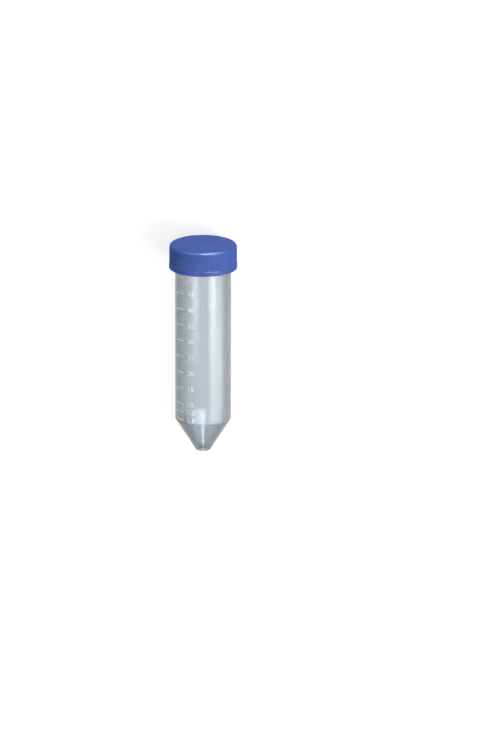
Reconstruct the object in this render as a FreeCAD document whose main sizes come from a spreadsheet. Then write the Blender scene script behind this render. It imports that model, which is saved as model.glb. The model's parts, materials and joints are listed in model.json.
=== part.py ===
"""50 ml conical tube with a screw cap: a moulded tube, the cap and the plug seal held in the cap.

Each piece is modelled upright on its own Z axis, in one shared scheme of heights: 0 is the flat
of the tip and heights grow towards the cap. The last section lays the closed tube down as it
comes to rest, on the rim of the cap and the shoulder of the cone.
"""
import FreeCAD, Part

import math
import os

import Sketcher

SIZES = {
    "Tube": {
        "tube_length": 110.5,       # flat of the tip to the mouth
        "body_od": 29.4,
        "body_wall": 1.1,
        "cone_height": 17.6,        # flat of the tip to the shoulder
        "tip_flat_od": 7.6,
        "cone_wall": 1.15,
        "tip_wall": 1.6,
        "tip_round": 0.9,
        "shoulder_round": 1.2,
        "bore_tip_round": 2.0,
        "bore_shoulder_round": 1.5,
    },
    "Neck": {
        "neck_step": 0.1,           # radius that the neck stands in from the body
        "mouth_bevel": 0.3,
        "bead_reach": 0.7,          # of the ring that closes the skirt of the cap
        "bead_height": 0.9,
        "bead_cover": 0.4,          # rim of the closed cap to the foot of the bead
    },
    "Thread": {
        "lead": 3.2,
        "thread_depth": 0.8,
        "thread_foot": 1.8,         # width of the ridge at its foot
        "thread_crest": 0.8,        # width of the ridge at its crest
        "thread_sink": 0.25,        # how far a ridge runs into its wall
        "thread_rise": 2.7,         # top of the bead to where the tube's ridge starts
        "thread_lip": 2.2,          # end of the tube's ridge to the mouth
        "cap_turns_less": 0.25,     # turns that the cap's ridge is short of the tube's
        "flank_gap": 0.2,           # along the axis, between the loaded flanks
        "crest_gap": 0.3,           # between a crest and the wall it runs along
        "ramp_angle": 14,           # over which each end of a ridge rises to its crest
        "ramp_lip": 0.05,           # height of the ridge where the ramp starts
    },
    "Cap": {
        "skirt_reach": 11,          # mouth to the rim of the closed cap
        "skirt_wall": 1.95,         # bore to the crests of the ribs
        "band_reach": 0.15,         # of the plain band round the rim, over the ribs
        "band_height": 2.4,
        "top_thickness": 1.3,
        "top_bevel": 1.2,
        "rim_bevel": 0.25,
        "rib_count": 110,
        "rib_depth": 0.18,
        "rib_gap_share": 0.66,      # part of the pitch that the gap between ribs takes
        "rib_end_gap": 0.2,         # ends of the gaps to the start of the top's bevel
    },
    "Seal": {
        "flange_thickness": 0.7,
        "flange_gap": 0.3,          # flange to the cap's bore, all round
        "catch_depth": 0.2,         # how far the cap's catch bead reaches under the flange
        "catch_height": 0.6,
        "catch_gap": 0.1,           # flange to the catch bead, along the axis
        "plug_depth": 3,
        "plug_wall": 0.9,
        "plug_gap": 0.05,           # plug to the tube's bore, all round
        "plug_bevel": 0.3,
    },
}

doc = FreeCAD.newDocument("ConicalTube50ml")


def make_sheet():
    """The spreadsheet that holds every driving size, one section under another."""
    sheet = doc.addObject("Spreadsheet::Sheet", "dims")
    row = 1
    for section, sizes in SIZES.items():
        sheet.set(f"A{row}", section)
        row += 1
        for alias, value in sizes.items():
            sheet.set(f"A{row}", alias)
            sheet.set(f"B{row}", str(value))
            sheet.setAlias(f"B{row}", alias)
            row += 1
    doc.recompute()
    return sheet


sheet = make_sheet()


def value(formula):
    """What a formula on the sheet's sizes comes to, as a plain number."""
    result = sheet.evalExpression(formula)
    return float(getattr(result, "Value", result))


# Heights and radii that more than one feature uses, as formulas on the sheet.
BODY_R = "(dims.body_od / 2)"
BORE_R = f"({BODY_R} - dims.body_wall)"
NECK_R = f"({BODY_R} - dims.neck_step)"
BEAD_R = f"({BODY_R} + dims.bead_reach)"
TIP_R = "(dims.tip_flat_od / 2)"
CAP_BORE_R = f"({NECK_R} + dims.thread_depth + dims.crest_gap)"
CAP_R = f"({CAP_BORE_R} + dims.skirt_wall)"
BAND_R = f"({CAP_R} + dims.band_reach)"
FLANGE_R = f"({CAP_BORE_R} - dims.flange_gap)"

MOUTH = "dims.tube_length"
CAP_UNDERSIDE = f"({MOUTH} + dims.flange_thickness)"
CAP_TOP = f"({CAP_UNDERSIDE} + dims.top_thickness)"
CAP_RIM = f"({MOUTH} - dims.skirt_reach)"
BEAD_FOOT = f"({CAP_RIM} + dims.bead_cover)"
BEAD_TOP = f"({BEAD_FOOT} + dims.bead_height)"

THREAD_START = f"({BEAD_TOP} + dims.thread_rise)"
TUBE_TURNS = f"(({MOUTH} - dims.thread_lip - {THREAD_START}) / dims.lead)"
CAP_TURNS = f"({TUBE_TURNS} - dims.cap_turns_less)"


def new_body(label):
    body = doc.addObject("PartDesign::Body", label)
    body.Label = label
    return body


def plane(body, role):
    return next(f for f in body.Origin.OriginFeatures if f.Role == role)


def outline(body, name, corners, role="XZ_Plane", height="0"):
    """A closed outline of straight lines in one of the body's planes, or at a height over it.

    Each corner is a pair of formulas, across and up, and both are bound to the sheet.
    """
    sketch = body.newObject("Sketcher::SketchObject", name)
    sketch.AttachmentSupport = (plane(body, role), [""])
    sketch.MapMode = "FlatFace"
    if height != "0":
        sketch.setExpression("AttachmentOffset.Base.z", height)
    points = [FreeCAD.Vector(value(across), value(up), 0) for across, up in corners]
    lines = [
        sketch.addGeometry(Part.LineSegment(start, end), False)
        for start, end in zip(points, points[1:] + points[:1])
    ]
    for line, following in zip(lines, lines[1:] + lines[:1]):
        sketch.addConstraint(Sketcher.Constraint("Coincident", line, 2, following, 1))
    for line, point, (across, up) in zip(lines, points, corners):
        place(sketch, line, "DistanceX", point.x, across, -2)
        place(sketch, line, "DistanceY", point.y, up, -1)
    return sketch


def place(sketch, line, kind, number, formula, axis):
    """Hold one coordinate of a line's first point, on the axis itself where it is 0."""
    if formula == "0":
        sketch.addConstraint(Sketcher.Constraint("PointOnObject", line, 1, axis))
        return
    first, second = ((-1, 1), (line, 1)) if number >= 0 else ((line, 1), (-1, 1))
    index = sketch.addConstraint(Sketcher.Constraint(kind, *first, *second, abs(number)))
    name = f"{kind}_{line}"
    sketch.renameConstraint(index, name)
    sketch.setExpression(f"Constraints.{name}", formula if number >= 0 else f"-({formula})")


def revolve(body, name, corners):
    sketch = outline(body, f"{name}Profile", corners)
    solid = body.newObject("PartDesign::Revolution", name)
    solid.Profile = sketch
    solid.ReferenceAxis = (sketch, ["V_Axis"])
    solid.Angle = 360
    doc.recompute()
    return solid


def ease_circles(body, base, kind, name, size, circles):
    """Fillet or chamfer the circular edges that lie at these (radius, height) formulas."""
    wanted = [(value(r), value(z)) for r, z in circles]
    edges = []
    for number, edge in enumerate(base.Shape.Edges, 1):
        if not isinstance(edge.Curve, Part.Circle):
            continue
        found = edge.Curve.Radius, edge.Curve.Center.z
        if any(math.dist(found, want) < 1e-4 for want in wanted):
            edges.append(f"Edge{number}")
    if len(edges) != len(wanted):
        raise RuntimeError(f"{name}: {len(edges)} edges found for {len(wanted)} circles")
    eased = body.newObject(f"PartDesign::{kind}", name)
    eased.Base = (base, edges)
    eased.setExpression("Radius" if kind == "Fillet" else "Size", size)
    doc.recompute()
    return eased


def thread_ridge(body, name, foot_r, crest_r, start, turns):
    """A right-handed ridge on a wall, with ramped ends, that starts on the XZ plane."""
    side = "+" if value(crest_r) > value(foot_r) else "-"
    buried = f"{foot_r} {'-' if side == '+' else '+'} dims.thread_sink"
    # the flanks keep their slope down to the buried foot
    flare = "dims.thread_sink * (dims.thread_foot - dims.thread_crest) / dims.thread_depth / 2"
    half_foot = f"(dims.thread_foot / 2 + {flare})"
    corners = [
        (buried, f"{start} - {half_foot}"),
        (crest_r, f"{start} - dims.thread_crest / 2"),
        (crest_r, f"{start} + dims.thread_crest / 2"),
        (buried, f"{start} + {half_foot}"),
    ]
    sketch = outline(body, f"{name}Profile", corners)
    ridge = body.newObject("PartDesign::AdditiveHelix", name)
    ridge.Profile = sketch
    ridge.ReferenceAxis = (sketch, ["V_Axis"])
    ridge.Mode = "pitch-turns-angle"
    ridge.setExpression("Pitch", "dims.lead")
    ridge.setExpression("Turns", turns)
    doc.recompute()
    for end, at, towards in (("Start", "0", "+"), ("End", turns, "-")):
        ramp_end(body, f"{name}{end}", foot_r, crest_r, start, at, towards)


def ramp_end(body, name, foot_r, crest_r, start, turns, towards):
    """Cut the blunt end of a ridge, that many turns along it, to a ramp."""
    out = "+" if value(crest_r) > value(foot_r) else "-"
    end = f"({turns} * 360)"
    full = f"({turns} * 360 {towards} dims.ramp_angle)"
    past = f"({turns} * 360 {'-' if towards == '+' else '+'} dims.ramp_angle / 4)"
    lip_r = f"({foot_r} {out} dims.ramp_lip)"
    clear_r = f"({crest_r} {out} dims.thread_depth)"
    corners = [
        (f"{r} * cos({angle})", f"{r} * sin({angle})")
        for r, angle in ((lip_r, end), (clear_r, past), (clear_r, full), (f"({crest_r})", full))
    ]
    height = f"{start} + ({turns} - 0.5) * dims.lead"
    sketch = outline(body, f"{name}Profile", corners, role="XY_Plane", height=height)
    before = body.Shape.Volume
    ramp = body.newObject("PartDesign::Pocket", name)
    ramp.Profile = sketch
    ramp.Reversed = True
    ramp.setExpression("Length", "dims.lead")
    doc.recompute()
    if not 0 < before - body.Shape.Volume < before / 100:
        raise RuntimeError(f"{name} cut {before - body.Shape.Volume} cubic mm")


def make_tube():
    body = new_body("tube")
    slope = f"(({BODY_R} - {TIP_R}) / dims.cone_height)"
    inset = f"(dims.cone_wall / cos(atan({slope})))"
    bore_shoulder = f"dims.cone_height + ({BORE_R} + {inset} - {BODY_R}) / {slope}"
    bore_tip_r = f"{BODY_R} - (dims.cone_height - dims.tip_wall) * {slope} - {inset}"
    bead_rise = "dims.bead_reach / 2"
    wall = revolve(body, "Wall", [
        ("0", "0"),
        (TIP_R, "0"),
        (BODY_R, "dims.cone_height"),
        (BODY_R, BEAD_FOOT),
        (BEAD_R, f"{BEAD_FOOT} + {bead_rise}"),
        (BEAD_R, f"{BEAD_TOP} - {bead_rise}"),
        (NECK_R, BEAD_TOP),
        (NECK_R, MOUTH),
        (BORE_R, MOUTH),
        (BORE_R, bore_shoulder),
        (bore_tip_r, "dims.tip_wall"),
        ("0", "dims.tip_wall"),
    ])
    shape = wall
    for kind, name, size, circles in (
        ("Fillet", "TipRound", "dims.tip_round", [(TIP_R, "0")]),
        ("Fillet", "ShoulderRound", "dims.shoulder_round", [(BODY_R, "dims.cone_height")]),
        ("Fillet", "BoreTipRound", "dims.bore_tip_round", [(bore_tip_r, "dims.tip_wall")]),
        ("Fillet", "BoreShoulderRound", "dims.bore_shoulder_round", [(BORE_R, bore_shoulder)]),
        ("Chamfer", "MouthBevel", "dims.mouth_bevel", [(NECK_R, MOUTH), (BORE_R, MOUTH)]),
    ):
        shape = ease_circles(body, shape, kind, name, size, circles)
    crest_r = f"{NECK_R} + dims.thread_depth"
    thread_ridge(body, "TubeThread", NECK_R, crest_r, THREAD_START, TUBE_TURNS)
    return body


def make_cap():
    body = new_body("cap")
    band_top = f"{CAP_RIM} + dims.band_height"
    catch_r = f"{FLANGE_R} - dims.catch_depth"
    catch_top = f"({MOUTH} - dims.catch_gap)"
    catch_slope = "dims.catch_height / 3"
    shell = revolve(body, "Shell", [
        ("0", CAP_UNDERSIDE),
        (CAP_BORE_R, CAP_UNDERSIDE),
        (CAP_BORE_R, catch_top),
        (catch_r, f"{catch_top} - {catch_slope}"),
        (catch_r, f"{catch_top} - dims.catch_height + {catch_slope}"),
        (CAP_BORE_R, f"{catch_top} - dims.catch_height"),
        (CAP_BORE_R, CAP_RIM),
        (BAND_R, CAP_RIM),
        (BAND_R, f"{band_top} - dims.band_reach"),
        (CAP_R, band_top),
        (CAP_R, CAP_TOP),
        ("0", CAP_TOP),
    ])
    top = ease_circles(body, shell, "Chamfer", "TopBevel", "dims.top_bevel", [(CAP_R, CAP_TOP)])
    rims = [(CAP_BORE_R, CAP_RIM), (BAND_R, CAP_RIM)]
    ease_circles(body, top, "Chamfer", "RimBevel", "dims.rim_bevel", rims)
    # the ridge hangs under the tube's, flank to flank but for flank_gap
    narrowing = "(dims.thread_foot - dims.thread_crest) / dims.thread_depth / 2"
    overlap = f"(dims.thread_depth + dims.crest_gap) * {narrowing}"
    start = f"({THREAD_START} - dims.thread_foot - dims.flank_gap + {overlap})"
    crest_r = f"{CAP_BORE_R} - dims.thread_depth"
    thread_ridge(body, "CapThread", CAP_BORE_R, crest_r, start, CAP_TURNS)
    cut_ribs(body, band_top)
    return body


def cut_ribs(body, band_top):
    """The fine ribs of the grip: notches cut round the side, from the band to the top's bevel."""
    before = body.Shape.Volume
    half_gap = f"pi * {CAP_R} / dims.rib_count * dims.rib_gap_share"
    clear_r = f"{CAP_R} + dims.rib_depth"
    sketch = outline(body, "RibGapProfile", [
        (f"{CAP_R} - dims.rib_depth", "0"),
        (clear_r, f"2 * {half_gap}"),
        (clear_r, f"-2 * {half_gap}"),
    ], role="XY_Plane", height=band_top)
    gap = body.newObject("PartDesign::Pocket", "RibGap")
    gap.Profile = sketch
    gap.Reversed = True
    gap.setExpression(
        "Length", f"{CAP_TOP} - dims.top_bevel - dims.rib_end_gap - ({band_top})"
    )
    doc.recompute()
    ribs = body.newObject("PartDesign::PolarPattern", "Ribs")
    ribs.Originals = [gap]
    ribs.Axis = (sketch, ["N_Axis"])
    ribs.Angle = 360
    ribs.setExpression("Occurrences", "dims.rib_count")
    body.Tip = ribs
    doc.recompute()
    if body.Shape.Volume >= before:
        raise RuntimeError("the gaps between the ribs cut nothing")


def make_plug_seal():
    """The insert under the cap's top: a flange on the mouth and a hollow plug in the bore."""
    body = new_body("plug_seal")
    plug_r = f"({BORE_R} - dims.plug_gap)"
    plug_end = f"{MOUTH} - dims.plug_depth"
    insert = revolve(body, "Insert", [
        ("0", MOUTH),
        (f"{plug_r} - dims.plug_wall", MOUTH),
        (f"{plug_r} - dims.plug_wall", plug_end),
        (plug_r, plug_end),
        (plug_r, MOUTH),
        (FLANGE_R, MOUTH),
        (FLANGE_R, CAP_UNDERSIDE),
        ("0", CAP_UNDERSIDE),
    ])
    ease_circles(body, insert, "Chamfer", "PlugBevel", "dims.plug_bevel", [(plug_r, plug_end)])
    return body


def resting_pose():
    """How the closed tube lies: (the tilt of its axis in degrees, the height of the tip's centre).

    The floor touches the round of the shoulder, and the edge where the bevel of the cap's rim
    ends on the band.
    """
    cone = math.atan2(value(f"{BODY_R} - {TIP_R}"), value("dims.cone_height"))
    low_round = value("dims.shoulder_round")
    low_r = value(BODY_R) - low_round
    low_z = value("dims.cone_height") + low_round * math.tan(cone / 2)
    across = value(BAND_R) - low_r
    along = value(f"{CAP_RIM} + dims.rim_bevel") - low_z
    tilt = math.atan2(across, along) - math.asin(low_round / math.hypot(across, along))
    lift = low_r * math.cos(tilt) - low_z * math.sin(tilt) + low_round
    return math.degrees(tilt), lift


def lay_down(bodies):
    """Turn the upright pieces to lie along +Y, with the middle of their box over the origin."""
    tilt, lift = resting_pose()
    turn = FreeCAD.Rotation(FreeCAD.Vector(1, 0, 0), tilt - 90)
    for body in bodies:
        body.Placement = FreeCAD.Placement(FreeCAD.Vector(0, 0, lift), turn)
    doc.recompute()
    boxes = [body.Shape.optimalBoundingBox(False, False) for body in bodies]
    middle = (min(b.YMin for b in boxes) + max(b.YMax for b in boxes)) / 2
    for body in bodies:
        body.Placement = FreeCAD.Placement(FreeCAD.Vector(0, -middle, lift), turn)
    doc.recompute()
    return tilt, lift, middle


def check_and_write(bodies):
    for item in doc.Objects:
        if "Invalid" in item.State or "Error" in item.State:
            raise RuntimeError(f"{item.Name} did not build: {item.State}")
    for body in bodies:
        if body.Shape.isNull() or not body.Shape.isValid() or len(body.Shape.Solids) != 1:
            raise RuntimeError(f"{body.Label} is not one valid solid")
    os.makedirs("parts", exist_ok=True)
    for body in bodies:
        body.Shape.exportStep(f"parts/{body.Label}.step")


bodies = [make_tube(), make_cap(), make_plug_seal()]
tilt, lift, middle = lay_down(bodies)
check_and_write(bodies)
print(f"axis tilted {tilt:.10f} degrees, tip centre at Y {-middle:.6f}, Z {lift:.6f}")
for body in bodies:
    print(f"{body.Label}: {body.Shape.Volume:.1f} cubic mm")
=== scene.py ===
import json
import math

import bmesh
import bpy
from mathutils import Matrix, Vector


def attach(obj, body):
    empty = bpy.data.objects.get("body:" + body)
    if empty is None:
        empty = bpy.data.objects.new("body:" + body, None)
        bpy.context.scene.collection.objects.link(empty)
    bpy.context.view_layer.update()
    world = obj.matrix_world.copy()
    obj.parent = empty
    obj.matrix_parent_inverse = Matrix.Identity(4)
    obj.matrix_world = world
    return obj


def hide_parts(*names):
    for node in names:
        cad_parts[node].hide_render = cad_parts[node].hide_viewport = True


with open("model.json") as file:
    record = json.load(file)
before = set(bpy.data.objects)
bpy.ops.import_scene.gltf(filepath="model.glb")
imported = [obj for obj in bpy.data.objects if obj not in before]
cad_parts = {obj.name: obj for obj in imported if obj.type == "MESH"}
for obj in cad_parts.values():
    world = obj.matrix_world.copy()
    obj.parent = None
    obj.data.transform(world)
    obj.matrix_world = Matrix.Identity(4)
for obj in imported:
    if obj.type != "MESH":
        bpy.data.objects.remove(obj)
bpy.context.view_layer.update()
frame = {"record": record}

MM = 0.001

# ---------------------------------------------------------------- the frame
# Each piece is built upright on its own axis, from the flat of the tip at height 0 to the cap,
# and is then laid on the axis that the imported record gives. "Front" is the side that faces up.

record = frame["record"]
mounts = {mount["name"]: mount for mount in record["mounts"]}
joints = {joint["name"]: joint for joint in record["behaviour"]["joints"]}

AXIS = Vector(joints["cap_turn"]["axis"]).normalized()
RIGHT = Vector((1, 0, 0))
FRONT = RIGHT.cross(AXIS)
TIP = Vector(mounts["tip_flat"]["pos_m"])
CAP_TOP = (Vector(mounts["cap_top"]["pos_m"]) - TIP).dot(AXIS)
# an upright piece's X stays across, its Y turns down and its Z lies along the axis
LAY_DOWN = Matrix.Translation(TIP) @ Matrix((RIGHT, -FRONT, AXIS)).transposed().to_4x4()

BODY_R = mounts["rack_seat"]["dims"]["r_mm"] * MM
LEAD = record["behaviour"]["couplings"][0]["ratio"] * 2 * math.pi

# ---------------------------------------------------------------- sizes, in metres

BODY_WALL = 1.1 * MM
BORE_R = BODY_R - BODY_WALL
CONE_HEIGHT = 17.6 * MM         # flat of the tip to the shoulder
TIP_R = 3.8 * MM
CONE_WALL = 1.15 * MM
TIP_WALL = 1.6 * MM
TIP_ROUND = 0.9 * MM
SHOULDER_ROUND = 1.2 * MM
BORE_TIP_ROUND = 2 * MM
BORE_SHOULDER_ROUND = 1.5 * MM
MOUTH_ROUND = 0.35 * MM
EDGE_ROUND = 0.1 * MM           # of the small edges of all three pieces
CREST_ROUND = 0.08 * MM         # of the two beads' crests

TOP_THICKNESS = 1.3 * MM
FLANGE_THICKNESS = 0.7 * MM
SKIRT_REACH = 11 * MM           # mouth to the rim of the closed cap
CAP_UNDERSIDE = CAP_TOP - TOP_THICKNESS
MOUTH = CAP_UNDERSIDE - FLANGE_THICKNESS
CAP_RIM = MOUTH - SKIRT_REACH

BEAD_COVER = 0.4 * MM           # rim of the closed cap to the foot of the bead
BEAD_HEIGHT = 0.9 * MM
BEAD_REACH = 0.7 * MM
BEAD_FOOT = CAP_RIM + BEAD_COVER
BEAD_TOP = BEAD_FOOT + BEAD_HEIGHT
NECK_STEP = 0.1 * MM            # radius that the neck stands in from the body
NECK_R = BODY_R - NECK_STEP

THREAD_DEPTH = 0.8 * MM
THREAD_FOOT = 1.8 * MM          # width of the ridge at its foot
THREAD_CREST = 0.8 * MM         # width of the ridge at its crest
THREAD_RISE = 2.7 * MM          # top of the bead to where the tube's ridge starts
THREAD_LIP = 2.2 * MM           # end of the tube's ridge to the mouth
THREAD_START = BEAD_TOP + THREAD_RISE
TUBE_TURNS = (MOUTH - THREAD_LIP - THREAD_START) / LEAD
CAP_TURNS_LESS = 0.25           # turns that the cap's ridge is short of the tube's
CAP_TURNS = TUBE_TURNS - CAP_TURNS_LESS
FLANK_GAP = 0.2 * MM
CREST_GAP = 0.3 * MM
RAMP_TURNS = 14 / 360           # turns over which the end of a ridge rises to its crest

SKIRT_WALL = 1.95 * MM          # bore to the crests of the ribs
BAND_REACH = 0.15 * MM          # of the plain band round the rim, over the ribs
BAND_HEIGHT = 2.4 * MM
CAP_BORE_R = NECK_R + THREAD_DEPTH + CREST_GAP
CAP_R = CAP_BORE_R + SKIRT_WALL
BAND_R = CAP_R + BAND_REACH
BAND_TOP = CAP_RIM + BAND_HEIGHT
TOP_ROUND = 1.9 * MM
RIM_ROUND = 0.25 * MM
RIB_COUNT = 110
RIB_DEPTH = 0.18 * MM
RIB_GAP_SHARE = 0.66            # part of the pitch that the gap between two ribs takes
RIB_FOOT_STEP = 0.03 * MM       # height over the band at which a gap is full
RIB_END_GAP = 0.2 * MM          # ends of the gaps to the start of the top's round
RIB_TOP = CAP_TOP - TOP_ROUND - RIB_END_GAP
RIB_FADE = 0.5 * MM             # height over which a gap runs out towards the top

FLANGE_GAP = 0.3 * MM           # flange to the cap's bore, all round
CATCH_DEPTH = 0.2 * MM          # how far the cap's catch bead reaches under the flange
CATCH_GAP = 0.1 * MM            # flange to the catch bead, along the axis
FLANGE_R = CAP_BORE_R - FLANGE_GAP
CATCH_R = FLANGE_R - CATCH_DEPTH
CATCH_TOP = MOUTH - CATCH_GAP
CATCH_HEIGHT = 0.6 * MM
PLUG_GAP = 0.05 * MM            # plug to the tube's bore, all round
PLUG_R = BORE_R - PLUG_GAP
PLUG_WALL = 0.9 * MM
PLUG_DEPTH = 3 * MM
PLUG_END = MOUTH - PLUG_DEPTH
PLUG_ROOT_ROUND = 0.2 * MM
PLUG_INNER_ROUND = 0.15 * MM
PLUG_OUTER_ROUND = 0.35 * MM

# ---------------------------------------------------------------- fineness of the meshes

TUBE_COLUMNS = 288              # columns of faces round a piece
CAP_COLUMNS = RIB_COUNT * 2     # round the cap where it is plain, and round the seal
RIB_COLUMNS = RIB_COUNT * 6     # round the side of the cap, whole columns for each rib
THREAD_ROW = 0.16 * MM          # height of a row of faces where a thread runs
ON_AXIS = 1e-9                  # a point this near to the axis is on it
SAME_WALL = 1e-7                # a radius this near to a wall's is on that wall
SHARP_ANGLE = math.radians(35)


# ---------------------------------------------------------------- turned meshes

def eased(corners, arc_step=math.radians(9)):
    """The (radius, height) points of an outline whose corners are (radius, height, round)."""
    points = []
    for before, corner, after in zip(corners[-1:] + corners, corners, corners[1:] + corners[:1]):
        middle, ease = Vector(corner[:2]), corner[2]
        if not ease:
            points.append(tuple(middle))
            continue
        back = (Vector(before[:2]) - middle).normalized()
        on = (Vector(after[:2]) - middle).normalized()
        half = back.angle(on) / 2
        centre = middle + (back + on).normalized() * ease / math.sin(half)
        first = middle + back * ease / math.tan(half) - centre
        last = middle + on * ease / math.tan(half) - centre
        steps = max(2, math.ceil(first.angle(last) / arc_step))
        arc = [first.slerp(last, i / steps).normalized() for i in range(steps + 1)]
        points += [tuple(centre + towards * ease) for towards in arc]
    return points


def steadied(points, long=1.5 * MM, near=0.2 * MM):
    """The same outline, with points near both ends of long walls, so that those shade flat."""
    steady = []
    for start, end in zip(points, points[1:]):
        steady.append(start)
        first, last = Vector(start), Vector(end)
        length = (last - first).length
        if length > long:
            steady.append(tuple(first.lerp(last, near / length)))
            steady.append(tuple(last.lerp(first, near / length)))
    return steady + points[-1:]


def with_rows(points, radius, low, high):
    """The same outline, with rows of points from low to high on the wall of that radius."""
    rows = []
    for start, end in zip(points, points[1:]):
        rows.append(start)
        on_wall = max(abs(start[0] - radius), abs(end[0] - radius)) < SAME_WALL
        if on_wall and min(start[1], end[1]) < low and max(start[1], end[1]) > high:
            count = round((high - low) / THREAD_ROW)
            heights = [low + (high - low) * i / count for i in range(count + 1)]
            rows += [(radius, z) for z in (heights if end[1] > start[1] else heights[::-1])]
    return rows + points[-1:]


def bridge(bm, low, high):
    """Faces between two rings, one of which may have a whole number of times more columns."""
    few, many = sorted((low, high), key=len)
    if len(few) == 1:
        for one, two in zip(many, many[1:] + many[:1]):
            bm.faces.new((few[0], one, two))
        return
    step = len(many) // len(few)
    for i, vert in enumerate(few):
        far = [many[(i * step + j) % len(many)] for j in range(step, -1, -1)]
        bm.faces.new([vert, few[(i + 1) % len(few)], *far])


def turned(name, *spans):
    """A closed piece turned on its axis, where its outline starts and ends.

    Each span is (columns, outline, shape), and shape turns an angle, a radius and a height into
    the radius and height to use there.
    """
    bm = bmesh.new()
    rings = []
    for columns, points, shape in spans:
        for radius, height in points:
            if radius < ON_AXIS:
                rings.append([bm.verts.new((0, 0, height))])
                continue
            ring = []
            for column in range(columns):
                angle = 2 * math.pi * column / columns
                r, z = shape(angle, radius, height) if shape else (radius, height)
                ring.append(bm.verts.new((r * math.cos(angle), r * math.sin(angle), z)))
            rings.append(ring)
    for low, high in zip(rings, rings[1:]):
        bridge(bm, low, high)
    bmesh.ops.recalc_face_normals(bm, faces=bm.faces)
    return laid_down(name, bm)


def laid_down(name, bm):
    """The piece that an upright mesh makes, laid on the axis, with its edges sharp or smooth."""
    mesh = bpy.data.meshes.new(name)
    bm.to_mesh(mesh)
    bm.free()
    mesh.transform(LAY_DOWN)
    mesh.shade_smooth()
    mesh.set_sharp_from_angle(angle=SHARP_ANGLE)
    piece = bpy.data.objects.new(name, mesh)
    bpy.context.scene.collection.objects.link(piece)
    return piece


# ---------------------------------------------------------------- threads

def thread(wall_r, crest_r, start, turns):
    """The shape of a right-handed ridge, with ramped ends, on the wall of that radius."""
    def shape(angle, radius, height):
        if abs(radius - wall_r) > SAME_WALL:
            return radius, height
        rise = 0
        for turn in range(math.ceil(turns) + 1):
            along = angle / (2 * math.pi) + turn
            if along > turns:
                continue
            middle = start + along * LEAD
            # a row that passes close to an edge of the ridge moves onto it
            for width in (THREAD_FOOT, THREAD_CREST):
                for edge in (middle - width / 2, middle + width / 2):
                    if abs(height - edge) <= THREAD_ROW / 2:
                        height = edge
            flank = (THREAD_FOOT / 2 - abs(height - middle)) / (THREAD_FOOT - THREAD_CREST) * 2
            end_ramp = min(along, turns - along) / RAMP_TURNS
            rise = max(rise, min(flank, end_ramp, 1))
        return radius + (crest_r - wall_r) * rise, height
    return shape


def thread_rows(points, wall_r, start, turns):
    """The outline with rows of points along the stretch of wall that a ridge covers."""
    margin = THREAD_FOOT / 2 + 2 * THREAD_ROW
    return with_rows(points, wall_r, start - margin, start + turns * LEAD + margin)


# ---------------------------------------------------------------- the three moulded pieces

def bore_corners():
    """The corners of the tube's bore from the shoulder down: (radius, height, round)."""
    slope = (BODY_R - TIP_R) / CONE_HEIGHT
    inset = CONE_WALL / math.cos(math.atan(slope))
    shoulder = CONE_HEIGHT + (BORE_R + inset - BODY_R) / slope
    tip_r = BODY_R - (CONE_HEIGHT - TIP_WALL) * slope - inset
    return [
        (BORE_R, shoulder, BORE_SHOULDER_ROUND),
        (tip_r, TIP_WALL, BORE_TIP_ROUND),
        (0, TIP_WALL, 0),
    ]


def make_tube():
    bead_rise = BEAD_REACH / 2
    outline = steadied(eased([
        (0, 0, 0),
        (TIP_R, 0, TIP_ROUND),
        (BODY_R, CONE_HEIGHT, SHOULDER_ROUND),
        (BODY_R, BEAD_FOOT, EDGE_ROUND),
        (BODY_R + BEAD_REACH, BEAD_FOOT + bead_rise, CREST_ROUND),
        (BODY_R + BEAD_REACH, BEAD_TOP - bead_rise, CREST_ROUND),
        (NECK_R, BEAD_TOP, 0),
        (NECK_R, MOUTH, MOUTH_ROUND),
        (BORE_R, MOUTH, MOUTH_ROUND),
        *bore_corners(),
    ]))
    outline = thread_rows(outline, NECK_R, THREAD_START, TUBE_TURNS)
    shape = thread(NECK_R, NECK_R + THREAD_DEPTH, THREAD_START, TUBE_TURNS)
    tube = turned("tube_wall", (TUBE_COLUMNS, outline, shape))
    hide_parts("tube")
    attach(tube, "tube")
    return tube


def ribs(angle, radius, height):
    """The fine grip of the cap: shallow gaps between flat-topped ribs, run out at their top."""
    if abs(radius - CAP_R) > SAME_WALL or not BAND_TOP < height < RIB_TOP:
        return radius, height
    off_gap = abs(angle / (2 * math.pi) * RIB_COUNT % 1 - 0.5)
    share = max(0, 1 - off_gap / (RIB_GAP_SHARE / 2))
    return radius - RIB_DEPTH * share * min(1, (RIB_TOP - height) / RIB_FADE), height


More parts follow.
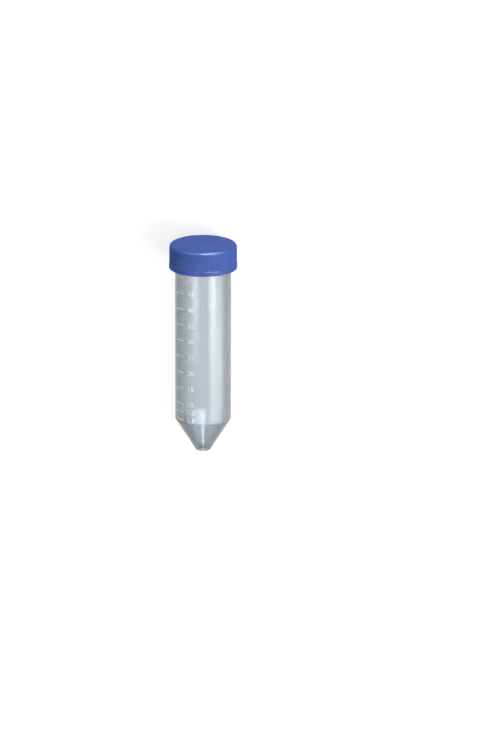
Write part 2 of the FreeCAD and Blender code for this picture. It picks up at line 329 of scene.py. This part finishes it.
def make_cap():
    # the flat middle of the top has fewer columns than the ribbed side
    crown = [(0, CAP_TOP), (CAP_R / 2, CAP_TOP)]
    side = eased([
        (CAP_R / 2, CAP_TOP, 0),
        (CAP_R, CAP_TOP, TOP_ROUND),
        (CAP_R, RIB_TOP, 0),
        (CAP_R, RIB_TOP - RIB_FADE, 0),
        (CAP_R, BAND_TOP + RIB_FOOT_STEP, 0),
        (CAP_R, BAND_TOP, 0),
        (BAND_R, BAND_TOP - (BAND_R - CAP_R), EDGE_ROUND),
        (BAND_R, CAP_RIM, RIM_ROUND),
        (CAP_BORE_R, CAP_RIM, 0),
    ])[1:-1]
    catch_slope = CATCH_HEIGHT / 3
    inside = eased([
        (BAND_R, CAP_RIM, 0),
        (CAP_BORE_R, CAP_RIM, RIM_ROUND),
        (CAP_BORE_R, CATCH_TOP - CATCH_HEIGHT, 0),
        (CATCH_R, CATCH_TOP - CATCH_HEIGHT + catch_slope, CREST_ROUND),
        (CATCH_R, CATCH_TOP - catch_slope, CREST_ROUND),
        (CAP_BORE_R, CATCH_TOP, 0),
        (CAP_BORE_R, CAP_UNDERSIDE, 0),
        (0, CAP_UNDERSIDE, 0),
    ])[1:]
    # the ridge hangs under the tube's, flank to flank but for the gap
    narrowing = (THREAD_FOOT - THREAD_CREST) / THREAD_DEPTH / 2
    start = THREAD_START - THREAD_FOOT - FLANK_GAP + (THREAD_DEPTH + CREST_GAP) * narrowing
    inside = thread_rows(inside, CAP_BORE_R, start, CAP_TURNS)
    shape = thread(CAP_BORE_R, CAP_BORE_R - THREAD_DEPTH, start, CAP_TURNS)
    cap = turned(
        "cap_shell",
        (CAP_COLUMNS, crown, None), (RIB_COLUMNS, side, ribs), (CAP_COLUMNS, inside, shape),
    )
    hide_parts("cap")
    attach(cap, "cap")
    return cap


def make_seal():
    outline = steadied(eased([
        (0, MOUTH, 0),
        (PLUG_R - PLUG_WALL, MOUTH, PLUG_ROOT_ROUND),
        (PLUG_R - PLUG_WALL, PLUG_END, PLUG_INNER_ROUND),
        (PLUG_R, PLUG_END, PLUG_OUTER_ROUND),
        (PLUG_R, MOUTH, 0),
        (FLANGE_R, MOUTH, EDGE_ROUND),
        (FLANGE_R, CAP_UNDERSIDE, EDGE_ROUND),
        (0, CAP_UNDERSIDE, 0),
    ]))
    seal = turned("plug_insert", (CAP_COLUMNS, outline, None))
    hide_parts("plug_seal")
    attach(seal, "seal")
    return seal


# ---------------------------------------------------------------- the printed scale

INK_FOOT = BODY_R - 0.01 * MM
INK_TOP = BODY_R + 0.025 * MM
TICK_FROM, TICK_TO = -66, -43.5     # degrees round the body from the front, less to the left
TICK_WIDTH = 0.55 * MM
NUMBER_MIDDLE = -26                 # degrees, as above
NUMBER_HEIGHT = 2.6 * MM
NUMBER_WIDENED = 1.1
NUMBER_LIFT = 0.3 * MM              # middle of a number over its mark
NUMBER_CURVE_STEPS = 3
NUMBER_WELD = 1e-5                  # share of the letters' size
SLICE_WIDTH = 0.4 * MM              # of the flat slices that the print bends in
VOLUME_STEP = 0.02 * MM
ML = 1e-6                           # cubic metres
MARKS_ML = (50, 45, 40, 35, 30, 25, 20, 15, 10, 7.5, 5)


def level(millilitres):
    """The height over the flat of the tip that so much water reaches in the upright tube."""
    (wall_r, shoulder, _), (tip_r, bottom, _), _ = bore_corners()
    volume, height = 0, bottom
    while volume < millilitres * ML:
        radius = min(wall_r, tip_r + (wall_r - tip_r) * (height - bottom) / (shoulder - bottom))
        volume += math.pi * radius ** 2 * VOLUME_STEP
        height += VOLUME_STEP
    return height


def on_body(across, up, out, middle):
    """A point of the print: across from its middle, up from the tip and out from the axis."""
    angle = math.radians(middle - 90) + across / BODY_R
    return (out * math.cos(angle), out * math.sin(angle), up)


def bend_print(bm, flat, middle, height):
    """Add a flat outline to the print, bent round the body and as thick as the ink."""
    for side, out in ((1, INK_TOP), (-1, INK_FOOT)):
        made = [bm.verts.new(on_body(v.co.x, height + v.co.y, out, middle)) for v in flat.verts]
        for face in flat.faces:
            corners = [made[v.index] for v in face.verts]
            bm.faces.new(corners if side > 0 else corners[::-1])
        if side > 0:
            tops = made
    for edge in flat.edges:
        if len(edge.link_faces) == 1:
            one, two = (v.index for v in edge.verts)
            bm.faces.new((tops[one], tops[two], made[two], made[one]))


def sliced(flat):
    """Cut a flat outline into narrow upright slices, so that it can bend."""
    flat.verts.ensure_lookup_table()
    left = min(v.co.x for v in flat.verts)
    right = max(v.co.x for v in flat.verts)
    for i in range(1, math.ceil((right - left) / SLICE_WIDTH)):
        everything = flat.verts[:] + flat.edges[:] + flat.faces[:]
        bmesh.ops.bisect_plane(
            flat, geom=everything, plane_co=(left + i * SLICE_WIDTH, 0, 0), plane_no=(1, 0, 0),
        )
    flat.verts.index_update()
    flat.verts.ensure_lookup_table()
    return flat


def flat_tick():
    """The face of a mark, centred on its origin."""
    flat = bmesh.new()
    half = math.radians(TICK_TO - TICK_FROM) / 2 * BODY_R
    corners = [(-half, -1), (half, -1), (half, 1), (-half, 1)]
    flat.faces.new([flat.verts.new((x, y * TICK_WIDTH / 2, 0)) for x, y in corners])
    return sliced(flat)


def flat_number(text):
    """The faces of a number in the plain built-in letters, centred on its origin."""
    curve = bpy.data.curves.new("number", "FONT")
    curve.body = text
    curve.size = 1
    curve.resolution_u = NUMBER_CURVE_STEPS
    holder = bpy.data.objects.new("number", curve)
    mesh = holder.to_mesh()
    flat = bmesh.new()
    flat.from_mesh(mesh)
    holder.to_mesh_clear()
    bpy.data.objects.remove(holder)
    bpy.data.curves.remove(curve)
    bmesh.ops.remove_doubles(flat, verts=flat.verts, dist=NUMBER_WELD)
    low = Vector([min(v.co[i] for v in flat.verts) for i in range(3)])
    high = Vector([max(v.co[i] for v in flat.verts) for i in range(3)])
    scale = NUMBER_HEIGHT / (high.y - low.y)
    for v in flat.verts:
        v.co = (v.co - (low + high) / 2) * scale
        v.co.x *= NUMBER_WIDENED
    return sliced(flat)


def printed(name, items):
    """A piece of ink from flat outlines, each with its middle, in degrees, and its height."""
    bm = bmesh.new()
    for flat, middle, height in items:
        bend_print(bm, flat, middle, height)
        flat.free()
    bmesh.ops.recalc_face_normals(bm, faces=bm.faces)
    piece = laid_down(name, bm)
    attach(piece, "tube")
    return piece


def make_scale():
    tick_middle = (TICK_FROM + TICK_TO) / 2
    ticks = [(flat_tick(), tick_middle, level(ml)) for ml in MARKS_ML]
    numbers = [
        (flat_number(f"{ml:.1f}" if ml < 10 else str(ml)), NUMBER_MIDDLE, level(ml) + NUMBER_LIFT)
        for ml in MARKS_ML
    ]
    return printed("scale_marks", ticks), printed("scale_numbers", numbers)


# ---------------------------------------------------------------- materials

EDGE_HAZE_AND_PAINTED_SHADE = (
    # how far the wall faces away, its tint there, and the share of light that it lets through;
    # the tint darkens towards the edges, partly for the longer path through the hazy wall and
    # partly as painted shade
    (0.0, (0.76, 0.80, 0.82), 0.92),
    (0.2, (0.66, 0.70, 0.72), 0.88),
    (0.35, (0.54, 0.575, 0.60), 0.78),
    (0.55, (0.37, 0.40, 0.43), 0.62),
    (0.7, (0.21, 0.235, 0.26), 0.50),
    (1.0, (0.09, 0.10, 0.12), 0.40),
)
# painted shade over the cone, below the shoulder
CONE_PAINTED_SHADE = (0.71, 0.75, 0.79)
SHOULDER_BLEND = 0.5 * MM       # to each side of the shoulder
LAMP_TINT = (0.85, 0.87, 0.88, 1)
CAP_BLUES = ((0.0, (0.049, 0.097, 0.378)), (1.0, (0.056, 0.109, 0.405)))


def node(tree, kind, inputs=(), **settings):
    """Add a node. An input is a plain value, or the socket that it is linked to."""
    made = tree.nodes.new(kind)
    for name, value in settings.items():
        setattr(made, name, value)
    for name, value in dict(inputs).items():
        if isinstance(value, bpy.types.NodeSocket):
            tree.links.new(value, made.inputs[name])
        else:
            made.inputs[name].default_value = value
    return made


def maths(tree, operation, one, two):
    return node(tree, "ShaderNodeMath", {0: one, 1: two}, operation=operation).outputs[0]


def vector_maths(tree, operation, one, two):
    return node(tree, "ShaderNodeVectorMath", {0: one, 1: two}, operation=operation).outputs


def new_material(name):
    material = bpy.data.materials.new(name)
    material.use_nodes = True
    material.node_tree.nodes.clear()
    return material, material.node_tree


def finish_material(tree, surface):
    node(tree, "ShaderNodeOutputMaterial", {"Surface": surface})


def noise(tree, waves, detail=2.0, low=0.0, high=1.0):
    """Noise on the piece itself, of so many waves a metre, spread from low to high."""
    place = node(tree, "ShaderNodeTexCoord").outputs["Object"]
    made = node(tree, "ShaderNodeTexNoise", {"Vector": place, "Scale": waves, "Detail": detail})
    # nearly all of the noise lies between these two
    return node(tree, "ShaderNodeMapRange", {
        "Value": made.outputs["Fac"], "From Min": 0.3, "From Max": 0.7,
        "To Min": low, "To Max": high,
    }).outputs["Result"]


def colour_ramp(tree, value, stops):
    """The colour for a value, from stops of (value, colour)."""
    made = node(tree, "ShaderNodeValToRGB", {"Fac": value})
    for place, _ in stops[2:]:
        made.color_ramp.elements.new(place)
    for stop, (place, colour) in zip(made.color_ramp.elements, stops):
        stop.position, stop.color = place, (*colour, 1)
    return made.outputs["Color"]


def bump(tree, height, distance):
    return node(tree, "ShaderNodeBump", {
        "Height": height, "Strength": 1.0, "Distance": distance,
    }).outputs["Normal"]


def cap_material():
    """Blue polyethylene, satin moulded, with a thin gloss that shows at its round edge."""
    material, tree = new_material("cap_blue")
    surface = node(tree, "ShaderNodeBsdfPrincipled", {
        "Base Color": colour_ramp(tree, noise(tree, 120), CAP_BLUES),
        "Roughness": noise(tree, 900, low=0.50, high=0.58),
        "Specular IOR Level": 0.02,
        "Coat Weight": 0.045,
        "Coat IOR": 2.2,
        "Coat Roughness": 0.27,
        "Normal": bump(tree, noise(tree, 1600, 4), 0.01 * MM),
    })
    finish_material(tree, surface.outputs["BSDF"])
    return material


def seal_material():
    """Natural soft polyethylene."""
    material, tree = new_material("seal_natural")
    surface = node(tree, "ShaderNodeBsdfPrincipled", {
        "Base Color": (0.72, 0.74, 0.74, 1),
        "Roughness": noise(tree, 900, low=0.34, high=0.44),
        "IOR": 1.51,
        "Subsurface Weight": 0.3,
        "Subsurface Radius": (1.0, 1.0, 1.0),
        "Subsurface Scale": 1 * MM,
    })
    finish_material(tree, surface.outputs["BSDF"])
    return material


def ink_material():
    """White ink, a little uneven in cover."""
    material, tree = new_material("ink_white")
    surface = node(tree, "ShaderNodeBsdfPrincipled", {
        "Base Color": (0.92, 0.93, 0.94, 1),
        "Roughness": noise(tree, 2500, low=0.42, high=0.55),
        "Alpha": noise(tree, 3500, 3, low=0.88, high=1.0),
    })
    finish_material(tree, surface.outputs["BSDF"])
    return material


def tube_material():
    """Natural polypropylene, hazier where the wall is seen along its length, and darker there,
    partly from the longer path and partly as painted shade at its edges.
    """
    material, tree = new_material("tube_clear")
    edge = node(tree, "ShaderNodeLayerWeight", {"Blend": 0.5}).outputs["Facing"]
    # painted shade: the tint darkens towards the wall's edges, more than the longer path through
    # it gives
    tint = colour_ramp(tree, edge, [(place, colour) for place, colour, _ in EDGE_HAZE_AND_PAINTED_SHADE])
    passed = colour_ramp(tree, edge, [(place, (share,) * 3) for place, _, share in EDGE_HAZE_AND_PAINTED_SHADE])
    # painted shade: the cone, below the shoulder, is tinted a little darker
    place = node(tree, "ShaderNodeTexCoord").outputs["Object"]
    shoulder = CONE_HEIGHT + TIP.dot(AXIS)
    over_cone = node(tree, "ShaderNodeMapRange", {
        "Value": vector_maths(tree, "DOT_PRODUCT", place, AXIS)["Value"],
        "From Min": shoulder - SHOULDER_BLEND, "From Max": shoulder + SHOULDER_BLEND,
    }).outputs["Result"]
    cone_painted_shade = colour_ramp(tree, over_cone, ((0.0, CONE_PAINTED_SHADE), (1.0, (1, 1, 1))))
    wall = node(tree, "ShaderNodeBsdfPrincipled", {
        "Base Color": vector_maths(tree, "MULTIPLY", tint, cone_painted_shade)["Vector"],
        "Roughness": noise(tree, 700, low=0.055, high=0.075),
        "IOR": 1.49,
        "Specular Tint": (0.6, 0.62, 0.64, 1),
        "Transmission Weight": passed,
        "Normal": bump(tree, noise(tree, 300), 0.0015 * MM),
    })
    # lamps shine through it as through a clear filter
    filtered = node(tree, "ShaderNodeBsdfTransparent", {"Color": LAMP_TINT})
    path = node(tree, "ShaderNodeLightPath")
    surface = node(tree, "ShaderNodeMixShader", {
        0: path.outputs["Is Shadow Ray"], 1: wall.outputs["BSDF"], 2: filtered.outputs["BSDF"],
    })
    finish_material(tree, surface.outputs["Shader"])
    return material


# ---------------------------------------------------------------- the studio

VIEW_TILT = math.radians(15.2)      # of the camera from straight above, towards the cap
VIEW_DISTANCE = 3.272
AIM_HEIGHT = 40.75 * MM
AIM_RIGHT = 24.52 * MM
LENS, SENSOR_WIDTH = 300, 36        # in millimetres

FLOOR_RADIUS = 5
FLOOR_GREY = 0.45
FLOOR_GLOW = 0.69
SKY_LEFT, SKY_RIGHT = 0.46, 0.56    # its strength, which grows from -X to +X
SKY_SPREAD = 0.9
FADE_PEAK = 16                      # x (1 - x) y (1 - y) is a sixteenth in the middle of a lamp


def floor_material():
    """Pale grey to the lamps, white to the camera, in mirrors and through clear walls."""
    material, tree = new_material("floor_white")
    base = node(tree, "ShaderNodeBsdfPrincipled", {
        "Base Color": (FLOOR_GREY, FLOOR_GREY, FLOOR_GREY, 1),
        "Roughness": 0.8,
        "Specular IOR Level": 0.0,
    })
    path = node(tree, "ShaderNodeLightPath")
    seen = path.outputs["Is Camera Ray"]
    for kind in ("Is Glossy Ray", "Is Transmission Ray"):
        seen = maths(tree, "MAXIMUM", seen, path.outputs[kind])
    strength = maths(tree, "MULTIPLY", seen, FLOOR_GLOW)
    light = node(tree, "ShaderNodeEmission", {"Strength": strength})
    surface = node(tree, "ShaderNodeAddShader", {0: base.outputs["BSDF"], 1: light.outputs[0]})
    finish_material(tree, surface.outputs["Shader"])
    return material


def make_floor():
    bm = bmesh.new()
    bmesh.ops.create_circle(bm, cap_ends=True, segments=96, radius=FLOOR_RADIUS)
    mesh = bpy.data.meshes.new("floor")
    bm.to_mesh(mesh)
    bm.free()
    floor = bpy.data.objects.new("floor", mesh)
    bpy.context.scene.collection.objects.link(floor)
    mesh.materials.append(floor_material())


def make_camera():
    camera = bpy.data.objects.new("camera", bpy.data.cameras.new("camera"))
    bpy.context.scene.collection.objects.link(camera)
    camera.data.lens = LENS
    camera.data.sensor_width = SENSOR_WIDTH
    camera.data.clip_start = 0.05
    back = Vector((0, math.sin(VIEW_TILT), math.cos(VIEW_TILT)))
    camera.location = TIP + AXIS * AIM_HEIGHT + back * VIEW_DISTANCE
    # the camera stands straight over the tube's axis, and turns to its right
    back = (back * VIEW_DISTANCE - RIGHT * AIM_RIGHT).normalized()
    up = Vector((0, math.cos(VIEW_TILT), -math.sin(VIEW_TILT)))
    camera.rotation_euler = Matrix((up.cross(back), up, back)).transposed().to_euler()
    bpy.context.scene.camera = camera


def lamp_fade(tree, lights):
    """The strength over a lamp: full in its middle, and fading to nothing at its edges."""
    place = node(tree, "ShaderNodeNewGeometry").outputs["Parametric"]
    rest = vector_maths(tree, "SUBTRACT", (1, 1, 1), place)["Vector"]
    humps = node(tree, "ShaderNodeSeparateXYZ", {
        0: vector_maths(tree, "MULTIPLY", place, rest)["Vector"],
    }).outputs
    fade = maths(tree, "MULTIPLY", humps[0], humps[1])
    fade = maths(tree, "MULTIPLY", fade, FADE_PEAK)
    fade = maths(tree, "POWER", fade, 2)
    if lights:
        return fade
    # a lamp that is only mirrored doesn't reach plain surfaces by way of the shiny ones either
    bounces = node(tree, "ShaderNodeLightPath").outputs["Diffuse Depth"]
    return maths(tree, "MULTIPLY", fade, maths(tree, "LESS_THAN", bounces, 0.5))


def softbox(name, azimuth, along, distance, width, length, radiance, lights=True, through=True):
    """A soft lamp over the middle of the object.

    It stands azimuth degrees to the right of straight up, and along degrees towards the cap.
    Without lights it is only mirrored, and without through it isn't seen through the wall.
    """
    middle = Vector((0, 0, BODY_R))
    towards = Vector((
        math.sin(math.radians(azimuth)) * math.cos(math.radians(along)),
        math.sin(math.radians(along)),
        math.cos(math.radians(azimuth)) * math.cos(math.radians(along)),
    ))
    lamp = bpy.data.lights.new(name, "AREA")
    lamp.shape = "RECTANGLE"
    lamp.size, lamp.size_y = width, length
    lamp.energy = radiance * math.pi * width * length
    holder = bpy.data.objects.new(name, lamp)
    bpy.context.scene.collection.objects.link(holder)
    holder.location = middle + towards * distance
    side = Vector((0, 1, 0)).cross(towards).normalized()
    holder.rotation_euler = Matrix((side, towards.cross(side), towards)).transposed().to_euler()
    holder.visible_camera = False
    holder.visible_diffuse = lights
    holder.visible_transmission = through
    lamp.use_nodes = True
    tree = lamp.node_tree
    tree.nodes.clear()
    light = node(tree, "ShaderNodeEmission", {"Strength": lamp_fade(tree, lights)})
    node(tree, "ShaderNodeOutputLight", {"Surface": light.outputs[0]})


def make_lights():
    # the wide bright stripe on the right of the wall, and most of the light on the object
    softbox("key", 39.5, -13, 2, 1.8, 0.7, 22, through=False)
    # the pale stripe left of the wall's middle, and the right edge of the wide one: both lamps
    # stand close, so that their stripes fade along the wall
    softbox("fill", -32, -5, 0.35, 0.29, 0.22, 12, lights=False, through=False)
    softbox("right card", 67, -17.6, 0.35, 0.34, 0.18, 8, lights=False, through=False)
    # soft light from behind the cap
    softbox("back", 5, 78, 2, 1.6, 0.8, 13)
    # the shine along the round edge of the cap, and its faint left part
    softbox("top", 34, 50, 2, 3, 2.2, 80, lights=False)
    softbox("left card", -60, 45, 2, 3.2, 1.6, 22, lights=False)
    # the pale field in the cone, mirrored by the inside of its far wall
    softbox("wedge", 4, 44, 2, 1.2, 0.8, 130, lights=False)
    # the bright line down the outside of the cone
    softbox("tip card", -6, -74, 2, 0.5, 1.0, 18, lights=False, through=False)


def make_world():
    world = bpy.data.worlds.new("studio")
    bpy.context.scene.world = world
    world.use_nodes = True
    tree = world.node_tree
    tree.nodes.clear()
    place = node(tree, "ShaderNodeTexCoord").outputs["Generated"]
    across = node(tree, "ShaderNodeSeparateXYZ", {"Vector": place}).outputs["X"]
    strength = node(tree, "ShaderNodeMapRange", {
        "Value": across, "From Min": -SKY_SPREAD, "From Max": SKY_SPREAD,
        "To Min": SKY_LEFT, "To Max": SKY_RIGHT,
    }).outputs["Result"]
    sky = node(tree, "ShaderNodeBackground", {"Color": (1, 1, 1, 1), "Strength": strength})
    node(tree, "ShaderNodeOutputWorld", {"Surface": sky.outputs["Background"]})


make_camera()
make_floor()
make_world()
make_lights()
bpy.context.scene.view_settings.view_transform = "Standard"

make_tube().data.materials.append(tube_material())
make_cap().data.materials.append(cap_material())
make_seal().data.materials.append(seal_material())
ink = ink_material()
for piece in make_scale():
    piece.data.materials.append(ink)
